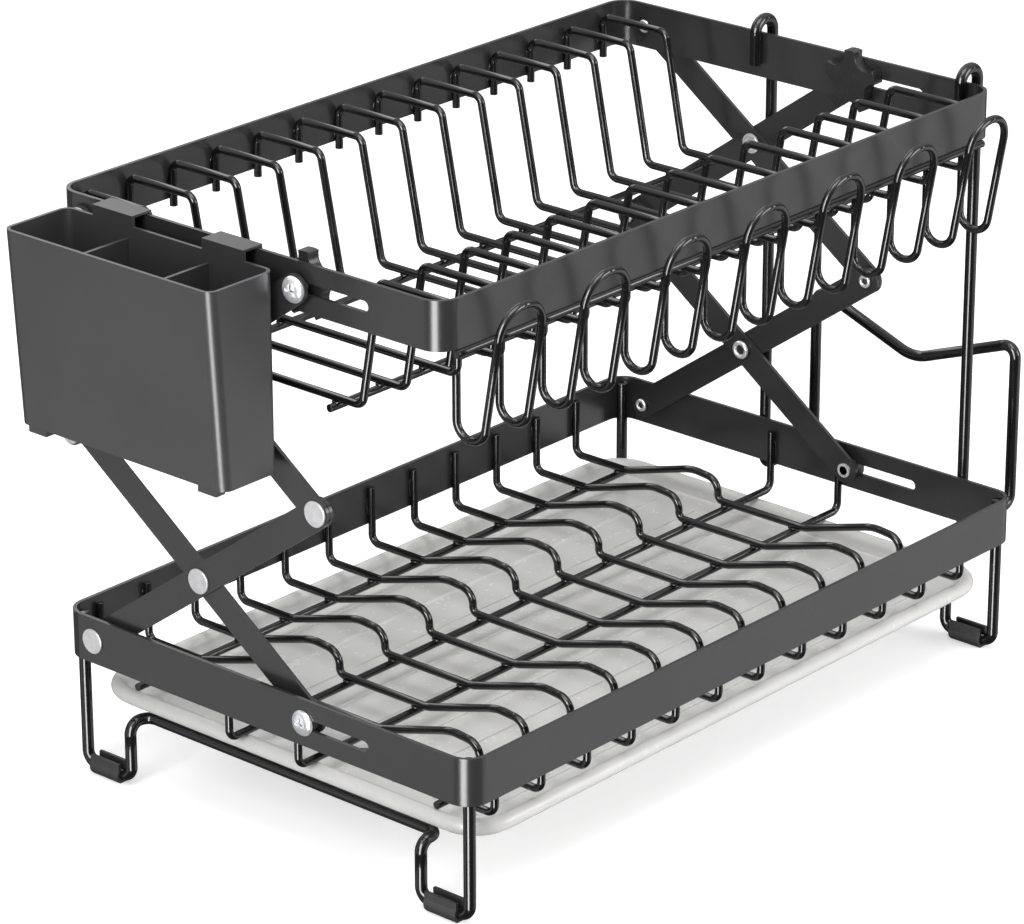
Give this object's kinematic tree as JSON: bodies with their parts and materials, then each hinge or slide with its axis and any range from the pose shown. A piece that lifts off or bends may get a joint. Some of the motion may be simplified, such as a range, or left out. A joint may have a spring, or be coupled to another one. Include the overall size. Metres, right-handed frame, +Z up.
{
  "type": "folding two-tier dish rack",
  "caption": "Two-tier dish rack on scissor links: wire plate rack over a wire basket, cup hooks, cutlery box, board holder and slide-out drip tray.",
  "frame": {"origin": "on the table, under the centre of the whole rack's box", "axes": "+X along the long side towards the board holder, -Y to the front with the cup hooks, +Z up"},
  "size_m": [0.5282, 0.274, 0.3184],
  "materials": {
    "coated_steel": "satin black coating",
    "rivet_steel": "plain steel",
    "bolt_zinc": "bright zinc",
    "spacer_plastic": "matte",
    "knob_plastic": "matte",
    "holder_plastic": "fine matte grain",
    "tray_plastic": "translucent, softly frosted",
    "foot_rubber": "matte"
  },
  "bodies": {
    "lower_rack": {"lower_frame": "coated_steel", "lower_long_wires": "coated_steel", "lower_wave_wires": "coated_steel", "leg_wire_left": "coated_steel", "leg_wire_right": "coated_steel", "foot_front_left": "foot_rubber", "foot_back_left": "foot_rubber", "foot_front_right": "foot_rubber", "foot_back_right": "foot_rubber", "lower_pivot_rivet_left": "rivet_steel", "lower_pivot_rivet_right": "rivet_steel", "lower_pivot_spacer_left": "spacer_plastic", "lower_pivot_spacer_right": "spacer_plastic"},
    "drip_tray": {"drip_tray": "tray_plastic"},
    "left_lower_outer": {"lower_outer_link_left": "coated_steel", "lower_cross_rivet_left": "rivet_steel", "front_joint_rivet_left": "rivet_steel"},
    "left_lower_inner": {"lower_inner_link_left": "coated_steel", "back_joint_rivet_left": "rivet_steel", "lower_slider_bolt_left": "bolt_zinc", "lower_slider_bush_left": "spacer_plastic"},
    "left_upper_inner": {"upper_inner_link_left": "coated_steel", "upper_cross_rivet_left": "rivet_steel"},
    "left_upper_outer": {"upper_outer_link_left": "coated_steel", "upper_slider_bolt_left": "bolt_zinc", "upper_slider_washer_left": "spacer_plastic"},
    "left_knob": {"star_knob_left": "knob_plastic"},
    "right_lower_outer": {"lower_outer_link_right": "coated_steel", "lower_cross_rivet_right": "rivet_steel", "front_joint_rivet_right": "rivet_steel"},
    "right_lower_inner": {"lower_inner_link_right": "coated_steel", "back_joint_rivet_right": "rivet_steel", "lower_slider_bolt_right": "bolt_zinc", "lower_slider_bush_right": "spacer_plastic"},
    "right_upper_inner": {"upper_inner_link_right": "coated_steel", "upper_cross_rivet_right": "rivet_steel"},
    "right_upper_outer": {"upper_outer_link_right": "coated_steel", "upper_slider_bolt_right": "bolt_zinc", "upper_slider_washer_right": "spacer_plastic"},
    "right_knob": {"star_knob_right": "knob_plastic"},
    "upper_rack": {"upper_frame": "coated_steel", "plate_wires": "coated_steel", "plate_rack_rails": "coated_steel", "cup_hooks": "coated_steel", "hook_rail": "coated_steel", "upper_pivot_rivet_left": "rivet_steel", "upper_pivot_rivet_right": "rivet_steel", "upper_pivot_spacer_left": "spacer_plastic", "upper_pivot_spacer_right": "spacer_plastic"},
    "cutlery_holder": {"cutlery_holder": "holder_plastic"},
    "board_holder": {"board_holder": "coated_steel"}
  },
  "joints": [
    {"name": "fold", "type": "hinge", "parent": "lower_rack", "child": "left_lower_outer", "pos_m": [-0.21285, 0.11597, 0.07665], "axis": [1, 0, 0], "range_deg": [0, 24.95]},
    {"name": "left_lower_cross", "type": "hinge", "parent": "left_lower_outer", "child": "left_lower_inner", "pos_m": [-0.21285, 0.04403, 0.12835], "axis": [1, 0, 0], "range_deg": [-50, 0]},
    {"name": "left_front_joint", "type": "hinge", "parent": "left_lower_outer", "child": "left_upper_inner", "pos_m": [-0.21285, -0.0371, 0.18665], "axis": [1, 0, 0], "range_deg": [-50, 0]},
    {"name": "left_upper_cross", "type": "hinge", "parent": "left_upper_inner", "child": "left_upper_outer", "pos_m": [-0.21285, 0.04403, 0.24495], "axis": [1, 0, 0], "range_deg": [0, 50]},
    {"name": "upper_rack_pivot", "type": "hinge", "parent": "left_upper_inner", "child": "upper_rack", "pos_m": [-0.21285, 0.11597, 0.29665], "axis": [1, 0, 0], "range_deg": [0, 25]},
    {"name": "left_knob_turn", "type": "hinge", "parent": "left_upper_outer", "child": "left_knob", "pos_m": [-0.21285, -0.02792, 0.29665], "axis": [1, 0, 0], "range_deg": [0, 360]},
    {"name": "right_lower_outer_pivot", "type": "hinge", "parent": "lower_rack", "child": "right_lower_outer", "pos_m": [0.20715, 0.11597, 0.07665], "axis": [1, 0, 0], "range_deg": [0, 25]},
    {"name": "right_lower_cross", "type": "hinge", "parent": "right_lower_outer", "child": "right_lower_inner", "pos_m": [0.20715, 0.04403, 0.12835], "axis": [1, 0, 0], "range_deg": [-50, 0]},
    {"name": "right_front_joint", "type": "hinge", "parent": "right_lower_outer", "child": "right_upper_inner", "pos_m": [0.20715, -0.0371, 0.18665], "axis": [1, 0, 0], "range_deg": [-50, 0]},
    {"name": "right_upper_cross", "type": "hinge", "parent": "right_upper_inner", "child": "right_upper_outer", "pos_m": [0.20715, 0.04403, 0.24495], "axis": [1, 0, 0], "range_deg": [0, 50]},
    {"name": "right_knob_turn", "type": "hinge", "parent": "right_upper_outer", "child": "right_knob", "pos_m": [0.20715, -0.02792, 0.29665], "axis": [1, 0, 0], "range_deg": [0, 360]},
    {"name": "cutlery_holder_lift", "type": "slide", "parent": "upper_rack", "child": "cutlery_holder", "axis": [0, 0, 1], "range_m": [0, 0.04]},
    {"name": "board_holder_lift", "type": "slide", "parent": "upper_rack", "child": "board_holder", "axis": [0, 0, 1], "range_m": [0, 0.1]},
    {"name": "drip_tray_slide", "type": "slide", "parent": "lower_rack", "child": "drip_tray", "axis": [0, -1, 0], "range_m": [0, 0.15]}
  ],
  "couplings": [
    {"joint": "left_lower_cross", "follows": "fold", "ratio": -2},
    {"joint": "left_front_joint", "follows": "fold", "ratio": -2},
    {"joint": "left_upper_cross", "follows": "fold", "ratio": 2},
    {"joint": "upper_rack_pivot", "follows": "fold", "ratio": 1},
    {"joint": "right_lower_outer_pivot", "follows": "fold", "ratio": 1},
    {"joint": "right_lower_cross", "follows": "fold", "ratio": -2},
    {"joint": "right_front_joint", "follows": "fold", "ratio": -2},
    {"joint": "right_upper_cross", "follows": "fold", "ratio": 2}
  ]
}
